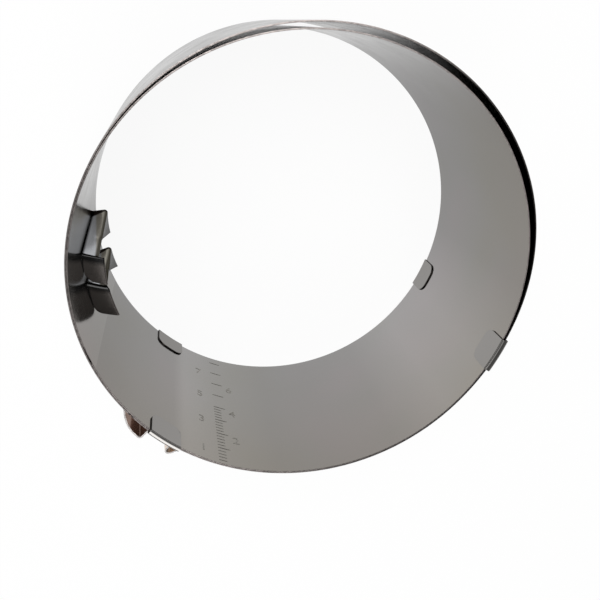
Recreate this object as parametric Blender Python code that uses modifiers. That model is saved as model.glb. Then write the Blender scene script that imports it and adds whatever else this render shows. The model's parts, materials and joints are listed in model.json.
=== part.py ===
# Adjustable cake ring: one long steel strip wound twice, which slides in itself to set its diameter.
# Lengths are in metres and angles in degrees. Z is up, and the ring stands on its lower clips.

import math

import bmesh
import bpy

# The strip, and the ring that it is wound to
BAND_HEIGHT = 0.085
BAND_SHEET = 0.0005
INNER_RADIUS = 0.080
SLIP_GAP = 0.0003
BAND_STEP_DEGREES = 3.75

# Where the strip starts and stops, counted anticlockwise from +X
OUTER_END_DEGREES = -142.0
INNER_END_DEGREES = 198.0
FULL_TURN_DEGREES = 360.0
JOINT_GAP = 0.0006

# The outer turn stands off the inner one between these angles
BULGE = 0.0021
BULGE_START_DEGREES = -40.0
BULGE_FULL_FROM_DEGREES = 25.0
BULGE_FULL_TO_DEGREES = 55.0
BULGE_STOP_DEGREES = 162.0

# Guide clips, hooked over the rims of both turns
CLIP_SHEET = 0.0006
CLIP_GAP = 0.0003
CLIP_WIDTH = 0.0135
CLIP_LIP = 0.011
CLIP_LEG = 0.0035
CLIP_CORNER = 0.004
CLIP_CREST = 0.0009
CLIP_ANGLES_DEGREES = {"a_top": -130.7, "a_bottom": -129.5, "b_top": -24.3, "b_bottom": -22.9}
CLIP_COLUMN_SHARES = (0, 0.02, 0.06, 0.13, 0.25, 0.5, 0.75, 0.87, 0.94, 0.98, 1)
CREST_POINTS = 6
LIP_ROWS = 3

# Finger grips, bent from sheet: a wall stands on edge along the strip, and its tip is turned over to a lip
GRIP_SHEET = 0.0006
GRIP_GAP = 0.0003
GRIP_FOLD = 0.0015
GRIP_TIP_BEND = 0.0010
GRIP_TIP_LEAST = 0.0004
GRIP_COLUMNS = 10
SHELF_COLUMNS = 3
BEND_POINTS = 4
WALL_SHARES = (0, 0.08, 0.2, 0.4, 0.7, 1)

# The grips inside the ring, near the strip's inner end. They start above the low rim, clear of the clips,
# and the high end of each is folded over to a shelf.
INNER_GRIP_START = 0.0118
INNER_GRIP_LENGTH = 0.0395
INNER_GRIP_WALL = 0.0055
INNER_GRIP_LEAN = 0.0020
INNER_GRIP_LIP = 0.0106
INNER_GRIP_RISE = 0.0005
INNER_GRIP_SHELF = 0.0088
INNER_GRIP_CORNER = 0.0035
INNER_GRIP_DEGREES = ((176.1, 179.6), (188.8, 187.7))

# The grips outside the ring, near the strip's outer end, which start below the high rim. Their lips droop
# towards the strip.
OUTER_GRIP_START = 0.0045
OUTER_GRIP_LENGTH = 0.0300
OUTER_GRIP_WALL = 0.0068
OUTER_GRIP_LEAN = 0.0010
OUTER_GRIP_LIP = 0.0130
OUTER_GRIP_DROOP = 0.0055
OUTER_GRIP_DEGREES = ((-134.4, -134.4), (-127.3, -127.3))

# What each grip has of those sizes. Pairs run from its first end to its other end, and reach is how far
# along it the lip tapers away.
INNER_GRIP_SHARES = (
    {"length": 1, "walls": (1.04, 1.02), "leans": (-0.45, 0.85), "lip": 1, "droop": -1, "reach": 0.66,
     "shelf": 1, "shelf_walls": (1.4, 1.3), "shelf_leans": (0.9, 1.6), "corner": 1},
    {"length": 1, "walls": (0.96, 1.2), "leans": (-0.45, 1.55), "lip": 0.93, "droop": -0.8, "reach": 0.66,
     "shelf": 1.25, "shelf_walls": (1.33, 1.33), "shelf_leans": (1.55, 2.15), "corner": 0.63},
)
OUTER_GRIP_SHARES = (
    {"length": 1, "walls": (1, 1), "leans": (0, 1), "lip": 1, "droop": 1, "reach": 0.8, "shelf": 0},
    {"length": 1, "walls": (0.91, 0.91), "leans": (0, -1), "lip": 0.32, "droop": 0.91, "reach": 0.8,
     "shelf": 0},
)

# Sizes that follow from those above
INNER_BAND_FACE = INNER_RADIUS + BAND_SHEET
OUTER_RADIUS = INNER_BAND_FACE + SLIP_GAP
OUTER_BAND_FACE = OUTER_RADIUS + BAND_SHEET
RIM_LOW = CLIP_CREST + CLIP_SHEET / 2
RIM_HIGH = RIM_LOW + BAND_HEIGHT
RING_AXIS_SHARES = (-0.35, -0.43)


def clear_scene():
    for item in list(bpy.data.objects):
        bpy.data.objects.remove(item, do_unlink=True)


def new_collection(name):
    collection = bpy.data.collections.new(name)
    bpy.context.scene.collection.children.link(collection)
    return collection


def steel(name, colour, roughness):
    material = bpy.data.materials.new(name)
    material.use_nodes = True
    shader = material.node_tree.nodes["Principled BSDF"]
    shader.inputs["Base Color"].default_value = (*colour, 1.0)
    shader.inputs["Metallic"].default_value = 1.0
    shader.inputs["Roughness"].default_value = roughness
    return material


def smooth_step(value):
    share = min(max(value, 0.0), 1.0)
    return share * share * (3.0 - 2.0 * share)


def bulge_at(degrees):
    rise = BULGE_FULL_FROM_DEGREES - BULGE_START_DEGREES
    fall = BULGE_STOP_DEGREES - BULGE_FULL_TO_DEGREES
    rising = smooth_step((degrees - BULGE_START_DEGREES) / rise)
    falling = smooth_step((BULGE_STOP_DEGREES - degrees) / fall)
    return BULGE * rising * falling


def on_ring(radius, degrees, height):
    angle = math.radians(degrees)
    return (radius * math.cos(angle), radius * math.sin(angle), height)


def sheet_object(name, rows, thickness, material, collection, axis):
    """A grid of points, given row by row, becomes a sheet that is thickened evenly on both sides."""
    mesh = bmesh.new()
    grid = [[mesh.verts.new(point) for point in row] for row in rows]
    for first, second in zip(grid, grid[1:]):
        for a, b, c, d in zip(first, first[1:], second[1:], second):
            mesh.faces.new((a, b, c, d))
    bmesh.ops.recalc_face_normals(mesh, faces=mesh.faces)
    data = bpy.data.meshes.new(name)
    mesh.to_mesh(data)
    mesh.free()
    data.shade_smooth()
    data.set_sharp_from_angle(angle=math.radians(40))
    data.materials.append(material)
    piece = bpy.data.objects.new(name, data)
    collection.objects.link(piece)
    piece.parent = axis
    skin = piece.modifiers.new("thickness", "SOLIDIFY")
    skin.thickness = thickness
    skin.offset = 0.0
    skin.use_even_offset = True
    return piece


def band(name, radius_at, start, stop, material, collection, axis):
    """One turn of the strip, with radius_at giving the middle of its thickness at each angle."""
    count = math.ceil((stop - start) / BAND_STEP_DEGREES)
    angles = [start + (stop - start) * index / count for index in range(count + 1)]
    heights = (RIM_LOW, RIM_HIGH)
    rows = [[on_ring(radius_at(angle), angle, height) for angle in angles] for height in heights]
    return sheet_object(name, rows, BAND_SHEET, material, collection, axis)


def outer_band(material, collection, axis):
    half_gap = math.degrees(JOINT_GAP / 2 / OUTER_RADIUS)

    def radius_at(degrees):
        return OUTER_RADIUS + BAND_SHEET / 2 + bulge_at(degrees)

    start = OUTER_END_DEGREES + half_gap
    stop = OUTER_END_DEGREES + FULL_TURN_DEGREES - half_gap
    return band("outer_band", radius_at, start, stop, material, collection, axis)


def inner_band(material, collection, axis):
    def radius_at(degrees):
        return INNER_RADIUS + BAND_SHEET / 2

    start = OUTER_END_DEGREES
    stop = INNER_END_DEGREES
    return band("inner_band", radius_at, start, stop, material, collection, axis)


def clip_profile(lip, stand_off):
    """Radius and height above the rim, from the foot of the outer leg over the crest to the lip's end."""
    outside = OUTER_BAND_FACE + stand_off + CLIP_GAP + CLIP_SHEET / 2
    inside = INNER_RADIUS - CLIP_GAP - CLIP_SHEET / 2
    middle = (outside + inside) / 2
    half = (outside - inside) / 2
    points = [(outside, -CLIP_LEG), (outside, 0.0)]
    for index in range(1, CREST_POINTS):
        angle = math.pi * index / CREST_POINTS
        points.append((middle + half * math.cos(angle), CLIP_CREST * math.sin(angle)))
    points.append((inside, 0.0))
    for index in range(1, LIP_ROWS + 1):
        points.append((inside, -lip * index / LIP_ROWS))
    return points


def clip_lip_at(share):
    """The lip's length across its width: its two free corners are round."""
    edge = min(share, 1 - share) * CLIP_WIDTH
    inset = max(CLIP_CORNER - edge, 0.0)
    return CLIP_LIP - CLIP_CORNER + math.sqrt(max(CLIP_CORNER ** 2 - inset ** 2, 0.0))


def guide_clip(name, centre, top, material, collection, axis):
    width = math.degrees(CLIP_WIDTH / INNER_RADIUS)
    stand_off = max(bulge_at(centre - width / 2), bulge_at(centre + width / 2))
    columns = []
    for share in CLIP_COLUMN_SHARES:
        angle = centre + width * (share - 0.5)
        column = []
        for radius, rise in clip_profile(clip_lip_at(share), stand_off):
            height = RIM_HIGH + rise if top else RIM_LOW - rise
            column.append(on_ring(radius, angle, height))
        columns.append(column)
    return sheet_object(name, columns, CLIP_SHEET, material, collection, axis)


def arc(centre, radius, start, stop):
    """Points on an arc, leaving out its first one, with angles in degrees."""
    points = []
    for index in range(1, BEND_POINTS + 1):
        angle = math.radians(start + (stop - start) * index / BEND_POINTS)
        points.append((centre[0] + radius * math.cos(angle), centre[1] + radius * math.sin(angle)))
    return points


def between(ends, share):
    return ends[0] + (ends[1] - ends[0]) * share


def grip_profile(height, lip, lean, droop):
    """Points of lean along the strip, height off it and distance out of the wall's plane, root to lip end."""
    bend = min(GRIP_TIP_BEND, lip)
    wall_top = height - bend
    points = [(lean * share, wall_top * share, 0.0) for share in WALL_SHARES]
    points += [(lean, rise, out) for out, rise in arc((bend, wall_top), bend, 180, 90)]
    for share in (0.5, 1.0):
        reach = max(lip - bend, GRIP_TIP_LEAST) * share
        points.append((lean, height - droop * share ** 2, bend + reach))
    return points


def wall_columns(sizes, shares, degrees):
    """Each column is a profile, its angle, how far it is up and across, and how far the sheet is folded."""
    columns = []
    for index in range(GRIP_COLUMNS + 1):
        share = index / GRIP_COLUMNS
        taper = max(1 - share / shares["reach"], 0.0)
        lip = max(sizes["lip"] * shares["lip"] * taper, GRIP_TIP_LEAST)
        height = sizes["wall"] * between(shares["walls"], share)
        lean = sizes["lean"] * between(shares["leans"], share)
        profile = grip_profile(height, lip, lean, sizes["droop"] * shares["droop"] * taper)
        up = sizes["length"] * shares["length"] * share
        columns.append((profile, between(degrees, share), up, 0.0, 0.0))
    return columns


def corner_cut(corner, rise):
    """How much a round corner at the strip takes off the shelf's end."""
    inset = max(corner - rise, 0.0)
    return corner - math.sqrt(corner ** 2 - inset ** 2)


def shelf_columns(sizes, shares, degrees):
    """The fold at the wall's other end, and the shelf that goes on from it along the strip."""
    length = sizes["length"] * shares["length"]
    shelf = sizes["shelf"] * shares["shelf"]
    columns = []
    for index in range(1, BEND_POINTS + SHELF_COLUMNS + 1):
        turned = min(index / BEND_POINTS, 1.0)
        share = max((index - BEND_POINTS) / SHELF_COLUMNS, 0.0)
        fold = math.pi / 2 * turned
        walls = (between((shares["walls"][1], shares["shelf_walls"][0]), turned), shares["shelf_walls"][1])
        leans = (between((shares["leans"][1], shares["shelf_leans"][0]), turned), shares["shelf_leans"][1])
        height = sizes["wall"] * between(walls, share)
        profile = grip_profile(height, GRIP_TIP_LEAST, sizes["lean"] * between(leans, share), 0.0)
        corner = sizes["corner"] * shares["corner"]
        profile = [(lean - corner_cut(corner, rise) * share, rise, out) for lean, rise, out in profile]
        up = length + GRIP_FOLD * math.sin(fold)
        across = GRIP_FOLD * (1 - math.cos(fold)) + shelf * share
        columns.append((profile, degrees[1], up, across, fold))
    return columns


def grip(name, place, sizes, shares, degrees, material, collection, axis):
    """A grip whose lip tapers away; place turns a point of its columns into a position."""
    columns = wall_columns(sizes, shares, degrees)
    if shares["shelf"]:
        columns += shelf_columns(sizes, shares, degrees)
    rows = []
    for profile, centre, up, across, fold in columns:
        row = []
        for lean, rise, out in profile:
            along = lean + across + out * math.cos(fold)
            row.append(place(centre, along, rise, sizes["start"] + up - out * math.sin(fold)))
        rows.append(row)
    return sheet_object(name, rows, GRIP_SHEET, material, collection, axis)


def on_inside(centre, along, rise, way):
    radius = INNER_RADIUS - GRIP_GAP - rise
    return on_ring(radius, centre + math.degrees(along / INNER_RADIUS), RIM_LOW + way)


def on_outside(centre, along, rise, way):
    radius = OUTER_BAND_FACE + GRIP_GAP + rise
    return on_ring(radius, centre - math.degrees(along / OUTER_BAND_FACE), RIM_HIGH - way)


def on_outside_turned(centre, along, rise, way):
    return on_outside(centre, -along, rise, way)


def inner_grips(material, collection, axis):
    sizes = {"start": INNER_GRIP_START, "length": INNER_GRIP_LENGTH, "wall": INNER_GRIP_WALL,
             "lean": INNER_GRIP_LEAN, "lip": INNER_GRIP_LIP, "droop": INNER_GRIP_RISE,
             "shelf": INNER_GRIP_SHELF, "corner": INNER_GRIP_CORNER}
    for number, (shares, degrees) in enumerate(zip(INNER_GRIP_SHARES, INNER_GRIP_DEGREES), start=1):
        grip(f"inner_grip_{number}", on_inside, sizes, shares, degrees, material, collection, axis)


def outer_grips(material, collection, axis):
    sizes = {"start": OUTER_GRIP_START, "length": OUTER_GRIP_LENGTH, "wall": OUTER_GRIP_WALL,
             "lean": OUTER_GRIP_LEAN, "lip": OUTER_GRIP_LIP, "droop": OUTER_GRIP_DROOP}
    places = (on_outside, on_outside_turned)
    grips = zip(places, OUTER_GRIP_SHARES, OUTER_GRIP_DEGREES)
    for number, (place, shares, degrees) in enumerate(grips, start=1):
        grip(f"outer_grip_{number}", place, sizes, shares, degrees, material, collection, axis)


def build():
    clear_scene()
    collection = new_collection("adjustable_cake_ring")
    axis = bpy.data.objects.new("ring_axis", None)
    axis.location = (RING_AXIS_SHARES[0] * BULGE, RING_AXIS_SHARES[1] * BULGE, 0.0)
    collection.objects.link(axis)
    strip_steel = steel("strip_steel", (0.58, 0.57, 0.56), 0.18)
    clip_steel = steel("clip_steel", (0.62, 0.60, 0.58), 0.14)
    grip_steel = steel("grip_steel", (0.56, 0.55, 0.52), 0.22)
    outer_band(strip_steel, collection, axis)
    inner_band(strip_steel, collection, axis)
    for place, centre in CLIP_ANGLES_DEGREES.items():
        guide_clip(f"guide_clip_{place}", centre, place.endswith("top"), clip_steel, collection, axis)
    inner_grips(grip_steel, collection, axis)
    outer_grips(grip_steel, collection, axis)


build()
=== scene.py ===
"""Looks of the adjustable cake ring: springy steel strip, guide clips, finger grips and a height scale."""

import json
import math

import bmesh
import bpy
from mathutils import Matrix, Vector


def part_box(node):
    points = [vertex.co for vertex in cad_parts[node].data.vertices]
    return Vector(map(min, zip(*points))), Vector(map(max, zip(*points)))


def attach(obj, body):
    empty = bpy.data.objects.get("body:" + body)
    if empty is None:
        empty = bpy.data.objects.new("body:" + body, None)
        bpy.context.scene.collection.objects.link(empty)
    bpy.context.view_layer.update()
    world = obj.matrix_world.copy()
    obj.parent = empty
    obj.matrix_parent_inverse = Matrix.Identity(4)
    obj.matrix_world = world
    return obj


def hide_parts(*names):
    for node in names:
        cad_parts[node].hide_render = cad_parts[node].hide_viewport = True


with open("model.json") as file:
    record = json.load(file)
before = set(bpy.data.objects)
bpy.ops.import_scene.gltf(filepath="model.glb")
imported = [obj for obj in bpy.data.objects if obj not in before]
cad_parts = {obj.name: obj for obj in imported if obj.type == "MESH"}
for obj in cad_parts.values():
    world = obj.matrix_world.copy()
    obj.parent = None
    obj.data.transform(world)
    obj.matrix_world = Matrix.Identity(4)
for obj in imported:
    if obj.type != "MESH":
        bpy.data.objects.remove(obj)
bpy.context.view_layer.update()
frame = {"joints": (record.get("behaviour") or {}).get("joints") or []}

# The ring's axis and rims, read from the frame
AXIS_X, AXIS_Y, _ = frame["joints"][0]["pos_m"]
RIM_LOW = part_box("inner_band")[0].z
RIM_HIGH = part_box("inner_band")[1].z

# Lengths in metres and angles in degrees, counted anticlockwise from +X
BAND_SHEET = 0.0005
INNER_RADIUS = 0.080
SLIP_GAP = 0.00004
OUTER_END = -142.0
INNER_END = 202.0
FULL_TURN = 360.0
EDGE_BEVEL = 0.00005
EDGE_ANGLE = 50.0
JOINT_GAP = 0.0006
BULGE = 0.0021
BULGE_RISE = (-40.0, 25.0)
BULGE_FALL = (55.0, 162.0)
END_FEATHER = 8.0
END_SHEET = 0.00001
TAIL_ANGLE = 18.0
TAIL_CLEARANCE = 0.00005
TAIL_STEP = 0.00003
BAND_STEP = 1.0
BAND_ROWS = 9

CLIP_SHEET = 0.0006
CLIP_GAP = 0.00006
CLIP_LIP_GAP = 0.00005
CLIP_WIDTH = 0.0135
CLIP_LIP = 0.011
CLIP_LEG = 0.0035
CLIP_CORNER = 0.004
CLIP_CREST = 0.0009
CLIP_ANGLES = {"a_top": -130.7, "a_bottom": -129.5, "b_top": -24.3, "b_bottom": -22.9}
CLIP_CREST_SQUARENESS = 0.55
CLIP_COLUMNS = 28
CLIP_CREST_POINTS = 14
CLIP_LIP_ROWS = 8

GRIP_SHEET = 0.0006
GRIP_GAP = 0.00005
GRIP_TIP_BEND = 0.0010
GRIP_TIP_LEAST = 0.0002
GRIP_COLUMNS = 40
SHELF_COLUMNS = 12
BEND_POINTS = 8
GRIP_WALL_SHARES = (0, 0.02, 0.05, 0.09, 0.14, 0.2, 0.28, 0.38, 0.5, 0.66, 0.83, 1)
GRIP_LIP_SHARES = (0.25, 0.5, 0.75, 1.0)

# The grips inside the ring. Pairs run from a grip's first end to its other end, where it is folded to a
# shelf; reach is how far along it the lip tapers away, and start is the height over the strip's low rim.
INNER_GRIPS = (
    {"degrees": (176.1, 179.6), "start": 0.0118, "length": 0.0405,
     "walls": (0.0057, 0.0056), "leans": (-0.0009, 0.0017), "lip": 0.0106, "droop": -0.0005, "reach": 0.66,
     "fold": 0.0005, "shelf": 0.0098, "corner": 0.0035,
     "shelf_walls": (0.0077, 0.0072), "shelf_leans": (0.0018, 0.0032)},
    {"degrees": (188.8, 187.7), "start": 0.0118, "length": 0.0395,
     "walls": (0.0053, 0.0066), "leans": (-0.0009, 0.0031), "lip": 0.0098, "droop": -0.0004, "reach": 0.66,
     "fold": 0.0015, "shelf": 0.0110, "corner": 0.0022,
     "shelf_walls": (0.0073, 0.0073), "shelf_leans": (0.0031, 0.0043)},
)

# The grips outside the ring, which start below the strip's high rim and have no shelf
OUTER_GRIPS = (
    {"degrees": (-134.4, -134.4), "start": 0.0045, "length": 0.0300,
     "walls": (0.0068, 0.0068), "leans": (0.0, 0.0010), "lip": 0.0130, "droop": 0.0055, "reach": 0.80,
     "shelf": 0.0},
    {"degrees": (-127.3, -127.3), "start": 0.0045, "length": 0.0300,
     "walls": (0.0062, 0.0062), "leans": (0.0, -0.0010), "lip": 0.0042, "droop": 0.0050, "reach": 0.80,
     "shelf": 0.0},
)

# The height scale, a thin layer inside the inner turn, counted down from the high rim
SCALE_DEGREES = -113.9
SCALE_LINE = 0.00032
SCALE_PROUD = 0.00007
SCALE_SUNK = 0.00001
TICK_STEP = 0.002
TICK_LENGTH = 0.0033
LONG_TICK_LENGTH = 0.0052
FINE_TICKS = 20
SCALE_CENTIMETRES = 8
CENTIMETRE = 0.010
DIGIT_SIZE = 0.0062
DIGIT_RISE = 0.0030
ODD_DIGIT_SIDE = -0.0063
EVEN_DIGIT_SIDE = 0.0082

# Sizes that follow from those above
INNER_BAND_FACE = INNER_RADIUS + BAND_SHEET
OUTER_RADIUS = INNER_BAND_FACE + SLIP_GAP
OUTER_BAND_FACE = OUTER_RADIUS + BAND_SHEET


def on_ring(radius, degrees, height):
    angle = math.radians(degrees)
    return (AXIS_X + radius * math.cos(angle), AXIS_Y + radius * math.sin(angle), height)


def smooth_step(value):
    share = min(max(value, 0.0), 1.0)
    return share * share * (3.0 - 2.0 * share)


def bulge_at(degrees):
    rising = smooth_step((degrees - BULGE_RISE[0]) / (BULGE_RISE[1] - BULGE_RISE[0]))
    falling = smooth_step((BULGE_FALL[1] - degrees) / (BULGE_FALL[1] - BULGE_FALL[0]))
    return BULGE * rising * falling


def steps(start, stop, count):
    return [start + (stop - start) * index / count for index in range(count + 1)]


def link(piece, body, slot, *nodes):
    bpy.context.scene.collection.objects.link(piece)
    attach(piece, body)
    if nodes:
        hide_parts(*nodes)
    return piece


def mesh_data(name, mesh, materials):
    data = bpy.data.meshes.new(name)
    mesh.to_mesh(data)
    mesh.free()
    for material in materials:
        data.materials.append(material)
    return data


def weighted_normals(piece):
    normals = piece.modifiers.new("normals", "WEIGHTED_NORMAL")
    normals.weight = 100


def sheet_marks(profile, along):
    """Places of a profile's points on the sheet's chart: how far round the profile, and along the sheet."""
    run = 0.0
    marks = [(run, along)]
    for before, after in zip(profile, profile[1:]):
        run += math.dist(before, after)
        marks.append((run, along))
    return marks


def grid_mesh(name, rows, marks, materials):
    """A sheet's middle surface from rows of points; marks are the same rows as lengths along the sheet."""
    mesh = bmesh.new()
    chart = mesh.loops.layers.uv.new("sheet")
    grid = [[mesh.verts.new(point) for point in row] for row in rows]
    places = {}
    for verts, row in zip(grid, marks):
        places.update(zip(verts, row))
    for first, second in zip(grid, grid[1:]):
        for a, b, c, d in zip(first, first[1:], second[1:], second):
            face = mesh.faces.new((a, b, c, d))
            face.smooth = True
            for loop in face.loops:
                loop[chart].uv = places[loop.vert]
    bmesh.ops.recalc_face_normals(mesh, faces=mesh.faces)
    return mesh_data(name, mesh, materials)


def sheet_piece(name, rows, marks, thickness, materials):
    """The middle surface thickened on both sides, with broken edges."""
    piece = bpy.data.objects.new(name, grid_mesh(name, rows, marks, materials))
    skin = piece.modifiers.new("thickness", "SOLIDIFY")
    skin.thickness = thickness
    skin.offset = 0.0
    skin.use_even_offset = True
    skin.material_offset_rim = 1
    edge = piece.modifiers.new("edge", "BEVEL")
    edge.width = EDGE_BEVEL
    edge.segments = 2
    edge.limit_method = "ANGLE"
    edge.angle_limit = math.radians(EDGE_ANGLE)
    weighted_normals(piece)
    return piece


def band_piece(name, faces_at, angles, materials):
    """One turn of the strip from closed outlines; faces_at gives its inner and outer radius at an angle."""
    mesh = bmesh.new()
    chart = mesh.loops.layers.uv.new("sheet")
    heights = steps(RIM_LOW, RIM_HIGH, BAND_ROWS)
    loops = []
    for degrees in angles:
        inner, outer = faces_at(degrees)
        bevel = min(EDGE_BEVEL, (outer - inner) / 3)
        outline = [(inner, height) for height in heights]
        outline[0] = (inner, RIM_LOW + bevel)
        outline[-1] = (inner, RIM_HIGH - bevel)
        outline += [(inner + bevel, RIM_HIGH), (outer - bevel, RIM_HIGH)]
        back = [(outer, height) for height in reversed(heights)]
        back[0] = (outer, RIM_HIGH - bevel)
        back[-1] = (outer, RIM_LOW + bevel)
        outline += back + [(outer - bevel, RIM_LOW), (inner + bevel, RIM_LOW)]
        along = math.radians(degrees) * INNER_RADIUS
        loops.append([(mesh.verts.new(on_ring(radius, degrees, height)), (along, height))
                      for radius, height in outline])
    count = len(loops[0])
    rims = (BAND_ROWS, BAND_ROWS + 1, BAND_ROWS + 2, count - 3, count - 2, count - 1)
    for first, second in zip(loops, loops[1:]):
        for index in range(count):
            after = (index + 1) % count
            corners = (first[index], first[after], second[after], second[index])
            face = mesh.faces.new([vert for vert, _ in corners])
            face.smooth = True
            face.material_index = 1 if index in rims else 0
            for loop, (_, place) in zip(face.loops, corners):
                loop[chart].uv = place
    for ends in (loops[0], loops[-1]):
        face = mesh.faces.new([vert for vert, _ in ends])
        face.smooth = False
    bmesh.ops.recalc_face_normals(mesh, faces=mesh.faces)
    piece = bpy.data.objects.new(name, mesh_data(name, mesh, materials))
    weighted_normals(piece)
    return piece


def outer_band(materials):
    half_gap = math.degrees(JOINT_GAP / 2 / OUTER_RADIUS)

    def faces_at(degrees):
        inner = OUTER_RADIUS + bulge_at(degrees)
        return inner, inner + BAND_SHEET

    start = OUTER_END + half_gap
    stop = OUTER_END + FULL_TURN - half_gap
    angles = steps(start, stop, round((stop - start) / BAND_STEP))
    piece = band_piece("outer_band_sheet", faces_at, angles, materials)
    return link(piece, "outer_turn", "strip_steel", "outer_band")


def inner_band(materials):
    """The inner turn; a thin tail closes the step to the outer turn, because the real strip runs on there."""

    def faces_at(degrees):
        tail = smooth_step((OUTER_END - degrees) / TAIL_ANGLE)
        outer = INNER_BAND_FACE + (OUTER_RADIUS - TAIL_CLEARANCE - INNER_BAND_FACE) * tail
        inner = INNER_RADIUS + TAIL_STEP * tail
        if degrees > INNER_END - END_FEATHER:
            feather = (INNER_END - degrees) / END_FEATHER
            outer = inner + END_SHEET + (outer - inner - END_SHEET) * feather
        return inner, outer

    start = OUTER_END - TAIL_ANGLE
    angles = steps(start, INNER_END, round((INNER_END - start) / BAND_STEP))
    piece = band_piece("inner_band_sheet", faces_at, angles, materials)
    return link(piece, "inner_turn", "strip_steel", "inner_band")


def clip_profile(lip, stand_off):
    """Radius and height above the rim, from the foot of the outer leg over the crest to the lip's end."""
    outside = OUTER_BAND_FACE + stand_off + CLIP_GAP + CLIP_SHEET / 2
    inside = INNER_RADIUS - CLIP_LIP_GAP - CLIP_SHEET / 2
    middle = (outside + inside) / 2
    half = (outside - inside) / 2
    points = [(outside, -CLIP_LEG), (outside, -CLIP_LEG / 2), (outside, 0.0)]
    for index in range(1, CLIP_CREST_POINTS):
        angle = math.pi * index / CLIP_CREST_POINTS
        across = math.copysign(abs(math.cos(angle)) ** CLIP_CREST_SQUARENESS, math.cos(angle))
        points.append((middle + half * across, CLIP_CREST * math.sin(angle) ** CLIP_CREST_SQUARENESS))
    points += [(inside, -lip * index / CLIP_LIP_ROWS) for index in range(CLIP_LIP_ROWS + 1)]
    return points


def clip_lip_at(share):
    """The lip's length across its width: its two free corners are round."""
    edge = min(share, 1 - share) * CLIP_WIDTH
    inset = max(CLIP_CORNER - edge, 0.0)
    return CLIP_LIP - CLIP_CORNER + math.sqrt(max(CLIP_CORNER ** 2 - inset ** 2, 0.0))


def guide_clip(name, centre, top, materials):
    width = math.degrees(CLIP_WIDTH / INNER_RADIUS)
    stand_off = max(bulge_at(centre - width / 2), bulge_at(centre + width / 2))
    rows = []
    marks = []
    for index in range(CLIP_COLUMNS + 1):
        share = (1 - math.cos(math.pi * index / CLIP_COLUMNS)) / 2
        profile = clip_profile(clip_lip_at(share), stand_off)
        angle = centre + width * (share - 0.5)
        heights = [RIM_HIGH + rise if top else RIM_LOW - rise for _, rise in profile]
        rows.append([on_ring(radius, angle, height) for (radius, _), height in zip(profile, heights)])
        marks.append(sheet_marks(profile, CLIP_WIDTH * share))
    piece = sheet_piece(f"{name}_sheet", rows, marks, CLIP_SHEET, materials)
    return link(piece, "outer_turn", "clip_steel", name)


def arc(centre, radius, start, stop):
    points = []
    for index in range(1, BEND_POINTS + 1):
        angle = math.radians(start + (stop - start) * index / BEND_POINTS)
        points.append((centre[0] + radius * math.cos(angle), centre[1] + radius * math.sin(angle)))
    return points


def between(ends, share):
    return ends[0] + (ends[1] - ends[0]) * share


def grip_profile(height, lip, lean, droop):
    """Points of lean along the strip, height off it and distance out of the wall's plane, root to lip end."""
    bend = min(GRIP_TIP_BEND, lip)
    wall_top = height - bend
    points = [(lean * share, wall_top * share, 0.0) for share in GRIP_WALL_SHARES]
    points += [(lean, rise, out) for out, rise in arc((bend, wall_top), bend, 180, 90)]
    for share in GRIP_LIP_SHARES:
        reach = max(lip - bend, GRIP_TIP_LEAST) * share
        points.append((lean, height - droop * share ** 2, bend + reach))
    return points


def wall_columns(shape):
    """Each column is a profile, its angle, how far it is up and across, and how far the sheet is folded."""
    columns = []
    for share in steps(0.0, 1.0, GRIP_COLUMNS):
        taper = max(1 - share / shape["reach"], 0.0)
        lip = max(shape["lip"] * taper, GRIP_TIP_LEAST)
        height = between(shape["walls"], share)
        profile = grip_profile(height, lip, between(shape["leans"], share), shape["droop"] * taper)
        columns.append((profile, between(shape["degrees"], share), shape["length"] * share, 0.0, 0.0))
    return columns


def corner_cut(corner, rise):
    """How much a round corner at the strip takes off a shelf's end."""
    inset = max(corner - rise, 0.0)
    return corner - math.sqrt(corner ** 2 - inset ** 2)


def shelf_columns(shape):
    """The fold at the wall's other end, and the shelf that goes on from it along the strip."""
    columns = []
    for index in range(1, BEND_POINTS + SHELF_COLUMNS + 1):
        turned = min(index / BEND_POINTS, 1.0)
        share = max((index - BEND_POINTS) / SHELF_COLUMNS, 0.0)
        fold = math.pi / 2 * turned
        walls = (between((shape["walls"][1], shape["shelf_walls"][0]), turned), shape["shelf_walls"][1])
        leans = (between((shape["leans"][1], shape["shelf_leans"][0]), turned), shape["shelf_leans"][1])
        profile = grip_profile(between(walls, share), GRIP_TIP_LEAST, between(leans, share), 0.0)
        profile = [(lean - corner_cut(shape["corner"], rise) * share, rise, out)
                   for lean, rise, out in profile]
        up = shape["length"] + shape["fold"] * math.sin(fold)
        across = shape["fold"] * (1 - math.cos(fold)) + shape["shelf"] * share
        columns.append((profile, shape["degrees"][1], up, across, fold))
    return columns


def grip(name, place, shape, body, materials):
    columns = wall_columns(shape)
    if shape["shelf"]:
        columns += shelf_columns(shape)
    rows = []
    marks = []
    for profile, centre, up, across, fold in columns:
        rows.append([place(centre, lean + across + out * math.cos(fold), rise,
                           shape["start"] + up - out * math.sin(fold)) for lean, rise, out in profile])
        marks.append(sheet_marks(profile, up + across))
    piece = sheet_piece(f"{name}_sheet", rows, marks, GRIP_SHEET, materials)
    return link(piece, body, "grip_steel", name)


def on_inside(centre, along, rise, height):
    radius = INNER_RADIUS - GRIP_GAP - rise
    return on_ring(radius, centre + math.degrees(along / INNER_RADIUS), RIM_LOW + height)


def on_outside(centre, along, rise, height):
    radius = OUTER_BAND_FACE + GRIP_GAP + rise
    return on_ring(radius, centre - math.degrees(along / OUTER_BAND_FACE), RIM_HIGH - height)


def on_outside_turned(centre, along, rise, height):
    return on_outside(centre, -along, rise, height)


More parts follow.
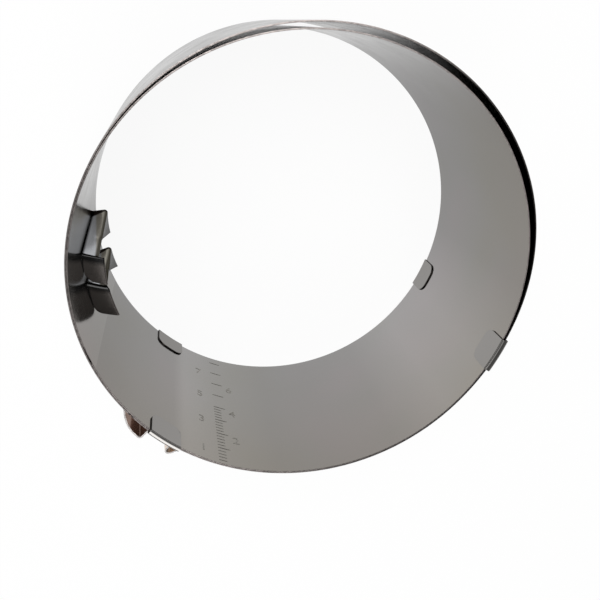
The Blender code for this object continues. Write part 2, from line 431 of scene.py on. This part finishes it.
def wrap_inside(verts, side, height):
    """Flat work, facing +Z with its top to +Y, is laid on the inner turn with its top towards the low rim."""
    for vert in verts:
        along, up, proud = vert.co
        angle = SCALE_DEGREES + math.degrees((side + along) / INNER_RADIUS)
        vert.co = on_ring(INNER_RADIUS - proud, angle, height - up)


def add_bar(mesh, side, height, length, width):
    made = bmesh.ops.create_cube(mesh, size=1.0)["verts"]
    bmesh.ops.scale(mesh, vec=(length, width, SCALE_PROUD + SCALE_SUNK), verts=made)
    bmesh.ops.translate(mesh, vec=(length / 2, 0.0, (SCALE_PROUD - SCALE_SUNK) / 2), verts=made)
    wrap_inside(made, side, height)


def add_digit(mesh, text, side, height):
    font = bpy.data.curves.new("digit", "FONT")
    font.body = text
    font.size = DIGIT_SIZE
    font.align_x = "CENTER"
    font.align_y = "CENTER"
    font.extrude = (SCALE_PROUD + SCALE_SUNK) / 2
    holder = bpy.data.objects.new("digit", font)
    bpy.context.scene.collection.objects.link(holder)
    shape = bpy.data.meshes.new_from_object(holder.evaluated_get(bpy.context.evaluated_depsgraph_get()))
    bpy.data.objects.remove(holder)
    before = len(mesh.verts)
    mesh.from_mesh(shape)
    mesh.verts.ensure_lookup_table()
    made = mesh.verts[before:]
    bmesh.ops.translate(mesh, vec=(0.0, 0.0, (SCALE_PROUD - SCALE_SUNK) / 2), verts=made)
    wrap_inside(made, side, height)
    bpy.data.meshes.remove(shape)


def height_scale(material):
    mesh = bmesh.new()
    for index in range(1, FINE_TICKS + 1):
        add_bar(mesh, 0.0, RIM_HIGH - TICK_STEP * index, TICK_LENGTH, SCALE_LINE)
    for number in range(1, SCALE_CENTIMETRES + 1):
        height = RIM_HIGH - CENTIMETRE * number
        add_bar(mesh, 0.0, height, LONG_TICK_LENGTH, SCALE_LINE)
        side = ODD_DIGIT_SIDE if number % 2 else EVEN_DIGIT_SIDE
        if number < SCALE_CENTIMETRES:
            add_digit(mesh, str(number), side, height + DIGIT_RISE)
    piece = bpy.data.objects.new("height_scale", mesh_data("height_scale", mesh, [material]))
    link(piece, "inner_turn", "strip_steel")


# Materials

METAL = 1.0
GLINT = 0.58
GRIP_GLINT = 0.34
CLOUD_SCALE = 14.0
SMUDGE_SCALE = 70.0
GRIT_SCALE = 900.0
INK_SCALE = 260.0
INK_ROUGHNESS = 0.3
STRIP_EDGE_ROUGHNESS = 0.45
GRIP_EDGE_ROUGHNESS = 0.40
EDGE_DARK_SHARE = 0.6
NOISE_LOW = 0.3
NOISE_HIGH = 0.7

# Rolling lines and broad waves in a sheet: how they are stretched over its chart, and how deep they are
LINE_SCALES = (60.0, 9000.0, 1.0)
LINE_DEPTH = 0.00002
WAVE_SCALES = (18.0, 9.0, 1.0)
WAVE_DEPTH = 0.0006
WAVE_STRENGTH = 0.6

# Tints are stops of a ramp over slow noise
STRIP_TINTS = ((0.30, (0.266, 0.258, 0.240)), (0.5, (0.272, 0.264, 0.256)), (0.70, (0.286, 0.268, 0.266)))
CLIP_TINTS = ((0.35, (0.28, 0.27, 0.26)), (0.65, (0.31, 0.30, 0.29)))
FOLDED_TINTS = ((0.35, (0.56, 0.575, 0.60)), (0.65, (0.60, 0.615, 0.64)))
# The first outer grip is brown as painted shade
OUTER_GRIP_PAINTED_SHADE = ((0.35, (0.36, 0.25, 0.21)), (0.65, (0.44, 0.32, 0.27)))
TAB_TINTS = ((0.35, (0.90, 0.78, 0.68)), (0.65, (0.95, 0.84, 0.74)))
INK_TINTS = ((0.35, (0.186, 0.177, 0.156)), (0.65, (0.250, 0.240, 0.219)))

STRIP_EDGE = (0.17, 0.153, 0.147)
# The clips' cut edges are dark as cut steel, and darkened further as painted shade for the shadow lines along
# the lips
CLIP_EDGE_PAINTED_SHADE = (0.06, 0.053, 0.049)
OUTER_EDGE = (0.42, 0.40, 0.39)
GRIP_EDGE = (0.16, 0.14, 0.13)

# Painted shade from the strip's low rim to its high rim, by share of its height: paler at the low rim, darker
# and warmer at the high rim
RIM_PAINTED_SHADE = ((0.0, (1.10, 1.11, 1.13)), (0.5, (1.02, 1.02, 1.01)), (1.0, (0.95, 0.92, 0.88)))

# Painted reflection along the strip: angles round the inner turn, and how bright the strip is painted there,
# in lighter and darker stretches that stand in for what the wall reflects
BANDS_FROM = -200.0
BANDS_TO = 220.0
STRIP_PAINTED_BANDS = ((-160, 1.08), (-142, 1.14), (-128, 1.13), (-124, 1.32), (-119, 1.26), (-112, 1.15), (-96, 1.01),
         (-80, 1.00), (-62, 1.04), (-44, 1.26), (-28, 1.26), (-12, 1.12), (-4, 1.05), (20, 1.08), (32, 1.10),
         (44, 1.03), (58, 0.92), (68, 0.76), (90, 0.70), (120, 0.80), (150, 0.82), (172, 0.92), (186, 1.25))
# Painted reflection on the rims' cut edges: angles round the ring, and how bright the edge is painted there;
# for the outer turn, then for the inner turn
EDGE_PAINTED_BANDS = ((-160, 1.2), (-120, 1.6), (-95, 1.5), (-70, 0.8), (-40, 0.4), (0, 0.2), (50, 0.45), (74, 2.6),
              (100, 3.2), (122, 2.6), (140, 1.6), (156, 0.9), (180, 0.9), (200, 1.1))
INNER_EDGE_PAINTED_BANDS = ((-160, 1.2), (-120, 1.6), (-95, 1.5), (-70, 1.0), (-40, 1.6), (-15, 2.4), (40, 2.6),
                    (74, 2.6), (100, 3.2), (122, 2.6), (140, 1.6), (156, 0.9), (180, 0.9), (200, 1.1))

# Painted light and shade on the inner grips: each mark is a direction on the sheet's chart, where it starts
# and stops along it in metres, and a colour.
# The chart's first length runs from a grip's root to its lip, and its second along the grip.
FOLDED_PAINTED_LIGHT = (
    # A beige painted reflection over the outer part of the wall and the lip
    ((1.0, -0.097), 0.0009, 0.0017, (0.42, 0.40, 0.35)),
    # Painted shade that hides the highlight on the tip bend
    ((1.0, 0.0), 0.0044, 0.0052, (0.10, 0.095, 0.082)),
    # Painted shade that darkens the lip
    ((1.0, 0.0), 0.0060, 0.0070, (0.045, 0.043, 0.036)),
    # Painted shadow in a triangle at the grip's far end
    ((-1.0, -1.0), -0.0074, -0.0062, (0.05, 0.045, 0.042)),
    # A black painted line that hides the fold's highlight
    ((0.0, 1.0), 0.0402, 0.0404, (0.03, 0.03, 0.03)),
    # Painted shade on the shelf
    ((0.0, 1.0), 0.0426, 0.0446, (0.17, 0.155, 0.145)),
    # Painted shade in the corner at the grip's root
    ((-1.0, 0.0), -0.0011, -0.0002, (0.02, 0.02, 0.02)),
)
# A near-white painted highlight on the first outer grip's lip
OUTER_PAINTED_HIGHLIGHT = (
    ((1.0, 0.0), 0.0115, 0.0125, (0.95, 0.96, 0.97)),
)


def new_look(name):
    material = bpy.data.materials.new(name)
    material.use_nodes = True
    tree = material.node_tree
    return material, tree, tree.nodes["Principled BSDF"]


def node(tree, kind, **settings):
    made = tree.nodes.new(kind)
    for name, value in settings.items():
        setattr(made, name, value)
    return made


def noise(tree, vector, scale, detail, roughness=0.5):
    made = node(tree, "ShaderNodeTexNoise")
    made.inputs["Scale"].default_value = scale
    made.inputs["Detail"].default_value = detail
    made.inputs["Roughness"].default_value = roughness
    tree.links.new(vector, made.inputs["Vector"])
    return made.outputs["Fac"]


def stretched(tree, vector, scales):
    made = node(tree, "ShaderNodeMapping")
    made.inputs["Scale"].default_value = scales
    tree.links.new(vector, made.inputs["Vector"])
    return made.outputs["Vector"]


def ramp(tree, value, stops):
    made = node(tree, "ShaderNodeValToRGB")
    tree.links.new(value, made.inputs["Fac"])
    elements = made.color_ramp.elements
    while len(elements) < len(stops):
        elements.new(0.5)
    for element, (place, colour) in zip(elements, stops):
        element.position = place
        element.color = (*colour, 1.0)
    return made.outputs["Color"]


def map_range(tree, value, start, stop, low=0.0, high=1.0):
    made = node(tree, "ShaderNodeMapRange")
    made.inputs["From Min"].default_value = start
    made.inputs["From Max"].default_value = stop
    made.inputs["To Min"].default_value = low
    made.inputs["To Max"].default_value = high
    tree.links.new(value, made.inputs["Value"])
    return made.outputs["Result"]


def multiplied(tree, first, second):
    made = node(tree, "ShaderNodeMix", data_type="RGBA", blend_type="MULTIPLY")
    made.inputs["Factor"].default_value = 1.0
    tree.links.new(first, made.inputs["A"])
    tree.links.new(second, made.inputs["B"])
    return made.outputs["Result"]


def bump(tree, height, strength, depth):
    made = node(tree, "ShaderNodeBump")
    made.inputs["Strength"].default_value = strength
    made.inputs["Distance"].default_value = depth
    tree.links.new(height, made.inputs["Height"])
    return made


def sheet_chart(tree):
    return node(tree, "ShaderNodeUVMap", uv_map="sheet").outputs["UV"]


def body_place(tree):
    return node(tree, "ShaderNodeTexCoord").outputs["Object"]


def sheet_sum(tree, chart, across, along):
    """Across times the first length of a sheet's chart plus along times its second length."""
    made = node(tree, "ShaderNodeVectorMath", operation="DOT_PRODUCT")
    made.inputs[1].default_value = (across, along, 0.0)
    tree.links.new(chart, made.inputs[0])
    return made.outputs["Value"]


def banded(tree, chart, colour, bands):
    """Painted light and shade: brighter and darker stretches along the strip; bands are pairs of an angle and
    a factor.
    """
    start = math.radians(BANDS_FROM) * INNER_RADIUS
    stop = math.radians(BANDS_TO) * INNER_RADIUS
    turn = map_range(tree, sheet_sum(tree, chart, 1.0, 0.0), start, stop)
    span = BANDS_TO - BANDS_FROM
    stops = [((degrees - BANDS_FROM) / span, (shade, shade, shade)) for degrees, shade in bands]
    return multiplied(tree, colour, ramp(tree, turn, stops))


def strip_wear(tree, chart, colour):
    """Painted reflection in broad bands along the strip, and painted shade that leaves the low rim paler and
    the high rim darker and warmer.
    """
    colour = banded(tree, chart, colour, STRIP_PAINTED_BANDS)
    rise = map_range(tree, sheet_sum(tree, chart, 0.0, 1.0), RIM_LOW, RIM_HIGH)
    return multiplied(tree, colour, ramp(tree, rise, RIM_PAINTED_SHADE))


def stained(tree, chart, colour, direction, start, stop, painted_light):
    """Turns to a painted colour from start to stop along a direction on the chart, for painted light and
    shade.
    """
    share = map_range(tree, sheet_sum(tree, chart, *direction), start, stop)
    made = node(tree, "ShaderNodeMix", data_type="RGBA")
    tree.links.new(share, made.inputs["Factor"])
    tree.links.new(colour, made.inputs["A"])
    made.inputs["B"].default_value = (*painted_light, 1.0)
    return made.outputs["Result"]


def rolled_steel(name, tints, roughness, grain, wear_and_painted_light=None, painted_light_marks=(), glint=GLINT):
    """Sheet steel: cloudy tint, rolling lines along the sheet, and smudges that dull it a little."""
    material, tree, shader = new_look(name)
    shader.inputs["Metallic"].default_value = METAL
    shader.inputs["Specular Tint"].default_value = (glint, glint, glint, 1.0)
    chart = sheet_chart(tree)
    body = body_place(tree)
    colour = ramp(tree, noise(tree, body, CLOUD_SCALE, 2.0), tints)
    # Painted light and shade laid over the tint, such as the strip's painted bands
    if wear_and_painted_light:
        colour = wear_and_painted_light(tree, chart, colour)
    # Painted light and shade in marks laid on the sheet's chart
    for painted_light in painted_light_marks:
        colour = stained(tree, chart, colour, *painted_light)
    tree.links.new(colour, shader.inputs["Base Color"])
    smudges = map_range(tree, noise(tree, body, SMUDGE_SCALE, 4.0, 0.6), NOISE_LOW, NOISE_HIGH, *roughness)
    tree.links.new(smudges, shader.inputs["Roughness"])
    lines = noise(tree, stretched(tree, chart, LINE_SCALES), 1.0, 3.0)
    waves = noise(tree, stretched(tree, chart, WAVE_SCALES), 1.0, 1.0)
    fine = bump(tree, lines, grain, LINE_DEPTH)
    broad = bump(tree, waves, WAVE_STRENGTH, WAVE_DEPTH)
    tree.links.new(fine.outputs["Normal"], broad.inputs["Normal"])
    tree.links.new(broad.outputs["Normal"], shader.inputs["Normal"])
    return material


def sheared_edge(name, colour, roughness, bands=None):
    """The cut edge of a sheet: dark, dull and speckled; given bands, it also gets painted reflection along
    the strip.
    """
    material, tree, shader = new_look(name)
    shader.inputs["Metallic"].default_value = METAL
    shader.inputs["Roughness"].default_value = roughness
    dark = tuple(channel * EDGE_DARK_SHARE for channel in colour)
    grit = noise(tree, body_place(tree), GRIT_SCALE, 3.0)
    tone = ramp(tree, grit, ((0.35, dark), (0.65, colour)))
    # Painted reflection in bands along the rim
    if bands:
        tone = banded(tree, sheet_chart(tree), tone, bands)
    tree.links.new(tone, shader.inputs["Base Color"])
    return material


def etched_ink(name):
    material, tree, shader = new_look(name)
    shader.inputs["Metallic"].default_value = METAL
    shader.inputs["Roughness"].default_value = INK_ROUGHNESS
    wear_and_painted_light = noise(tree, body_place(tree), INK_SCALE, 3.0)
    tree.links.new(ramp(tree, wear_and_painted_light, INK_TINTS), shader.inputs["Base Color"])
    return material


# The strip's colour carries painted reflection in bands along it and painted shade towards its high rim
strip = rolled_steel("strip_steel_painted_light_look", STRIP_TINTS, (0.10, 0.17), 0.05, wear_and_painted_light=strip_wear)
clip = rolled_steel("clip_steel_look", CLIP_TINTS, (0.08, 0.14), 0.1)
# The inner grips' colour carries painted reflection and painted shade
inner_grip = rolled_steel("inner_grip_painted_light_look", FOLDED_TINTS, (0.12, 0.2), 0.10, painted_light_marks=FOLDED_PAINTED_LIGHT,
                          glint=GRIP_GLINT)
outer_grip = rolled_steel("outer_grip_painted_light_look", OUTER_GRIP_PAINTED_SHADE, (0.12, 0.2), 0.10, painted_light_marks=OUTER_PAINTED_HIGHLIGHT)
outer_tab = rolled_steel("outer_tab_look", TAB_TINTS, (0.25, 0.35), 0.10)
strip_edge = sheared_edge("strip_edge_painted_light_look", STRIP_EDGE, STRIP_EDGE_ROUGHNESS, EDGE_PAINTED_BANDS)
inner_edge = sheared_edge("inner_edge_painted_light_look", STRIP_EDGE, STRIP_EDGE_ROUGHNESS, INNER_EDGE_PAINTED_BANDS)
clip_edge = sheared_edge("clip_edge_painted_shade_look", CLIP_EDGE_PAINTED_SHADE, STRIP_EDGE_ROUGHNESS)
outer_edge = sheared_edge("outer_grip_edge_look", OUTER_EDGE, GRIP_EDGE_ROUGHNESS)
grip_edge = sheared_edge("grip_edge_look", GRIP_EDGE, GRIP_EDGE_ROUGHNESS)

outer_band([strip, strip_edge])
inner_band([strip, inner_edge])
height_scale(etched_ink("etched_scale_look"))
for place, centre in CLIP_ANGLES.items():
    guide_clip(f"guide_clip_{place}", centre, place.endswith("top"), [clip, clip_edge])
for number, shape in enumerate(INNER_GRIPS, start=1):
    grip(f"inner_grip_{number}", on_inside, shape, "inner_turn", [inner_grip, grip_edge])
grip("outer_grip_1", on_outside, OUTER_GRIPS[0], "outer_turn", [outer_grip, outer_edge])
grip("outer_grip_2", on_outside_turned, OUTER_GRIPS[1], "outer_turn", [outer_tab, outer_edge])


# Camera, floor and light

CAMERA_RIGHT = (0.98369, 0.03461, 0.17635)
CAMERA_UP = (0.03734, 0.92063, -0.38868)
CAMERA_BACK = (-0.17579, 0.38893, 0.90433)
CAMERA_PLACE = (AXIS_X - 0.04373, AXIS_Y + 0.08121, 0.29188)
CAMERA_LENS = 39.192
SENSOR_WIDTH = 36.0

FLOOR_RADIUS = 4.0
FLOOR_DROP = 0.0001
FLOOR_SIDES = 96
FLOOR_TONE = (0.96, 0.96, 0.96, 1.0)
FLOOR_ROUGHNESS = 0.9
FLOOR_GLOW_SHARE = 0.92
SKY_GREYS = ((0.0, 1.0), (0.12, 1.0), (0.4, 0.3), (0.88, 0.16), (0.96, 0.7), (1.0, 0.8))

# A lamp's name, the way to it, its distance, its side and its brightness
LAMPS = (
    ("softbox", (-0.18, 0.41, 0.894), 1.6, 1.2, 3.8),
    ("window", (-0.15, -0.62, 0.77), 1.6, 0.8, 3.0),
)
LAMP_TARGET = (0, 0, 0.04)


def add_camera():
    turn = Matrix((Vector(CAMERA_RIGHT), Vector(CAMERA_UP), Vector(CAMERA_BACK)))
    place = turn.transposed().to_4x4()
    place.translation = Vector(CAMERA_PLACE)
    data = bpy.data.cameras.new("camera")
    data.lens = CAMERA_LENS
    data.sensor_width = SENSOR_WIDTH
    camera = bpy.data.objects.new("camera", data)
    camera.matrix_world = place
    bpy.context.scene.collection.objects.link(camera)
    bpy.context.scene.camera = camera


def seen_directly(tree):
    """1 for rays from the camera, a mirror or clear glass, and 0 for the rest."""
    rays = node(tree, "ShaderNodeLightPath")
    seen = rays.outputs["Is Camera Ray"]
    for kind in ("Is Glossy Ray", "Is Transmission Ray"):
        either = node(tree, "ShaderNodeMath", operation="MAXIMUM")
        tree.links.new(seen, either.inputs[0])
        tree.links.new(rays.outputs[kind], either.inputs[1])
        seen = either.outputs[0]
    return seen


def add_floor():
    """White paper, which keeps a part of the shadow where it is seen directly."""
    bpy.ops.mesh.primitive_circle_add(vertices=FLOOR_SIDES, radius=FLOOR_RADIUS, fill_type="NGON",
                                      location=(0, 0, -FLOOR_DROP))
    floor = bpy.context.object
    floor.name = "floor"
    material, tree, shader = new_look("floor_paper")
    shader.inputs["Base Color"].default_value = FLOOR_TONE
    shader.inputs["Roughness"].default_value = FLOOR_ROUGHNESS
    shader.inputs["Specular IOR Level"].default_value = 0.0
    share = node(tree, "ShaderNodeMath", operation="MULTIPLY")
    tree.links.new(seen_directly(tree), share.inputs[0])
    share.inputs[1].default_value = FLOOR_GLOW_SHARE
    mix = node(tree, "ShaderNodeMixShader")
    tree.links.new(share.outputs[0], mix.inputs["Fac"])
    tree.links.new(shader.outputs[0], mix.inputs[1])
    tree.links.new(node(tree, "ShaderNodeEmission").outputs[0], mix.inputs[2])
    tree.links.new(mix.outputs[0], tree.nodes["Material Output"].inputs["Surface"])
    floor.data.materials.append(material)


def add_lamp(name, direction, distance, side, radiance):
    data = bpy.data.lights.new(name, "AREA")
    data.shape = "SQUARE"
    data.size = side
    data.energy = radiance * math.pi * side * side
    lamp = bpy.data.objects.new(name, data)
    towards = Vector(direction).normalized()
    lamp.location = Vector(LAMP_TARGET) + towards * distance
    lamp.rotation_mode = "QUATERNION"
    lamp.rotation_quaternion = towards.to_track_quat("Z", "Y")
    bpy.context.scene.collection.objects.link(lamp)


def add_world():
    """White round the horizon and grey above, so that steel shows some contrast."""
    world = bpy.data.worlds.new("studio")
    world.use_nodes = True
    tree = world.node_tree
    split = node(tree, "ShaderNodeSeparateXYZ")
    tree.links.new(node(tree, "ShaderNodeTexCoord").outputs["Generated"], split.inputs["Vector"])
    sky = ramp(tree, split.outputs["Z"], [(place, (grey, grey, grey)) for place, grey in SKY_GREYS])
    tree.links.new(sky, tree.nodes["Background"].inputs["Color"])
    bpy.context.scene.world = world


add_camera()
add_floor()
add_world()
for lamp in LAMPS:
    add_lamp(*lamp)
bpy.context.scene.view_settings.view_transform = "Standard"
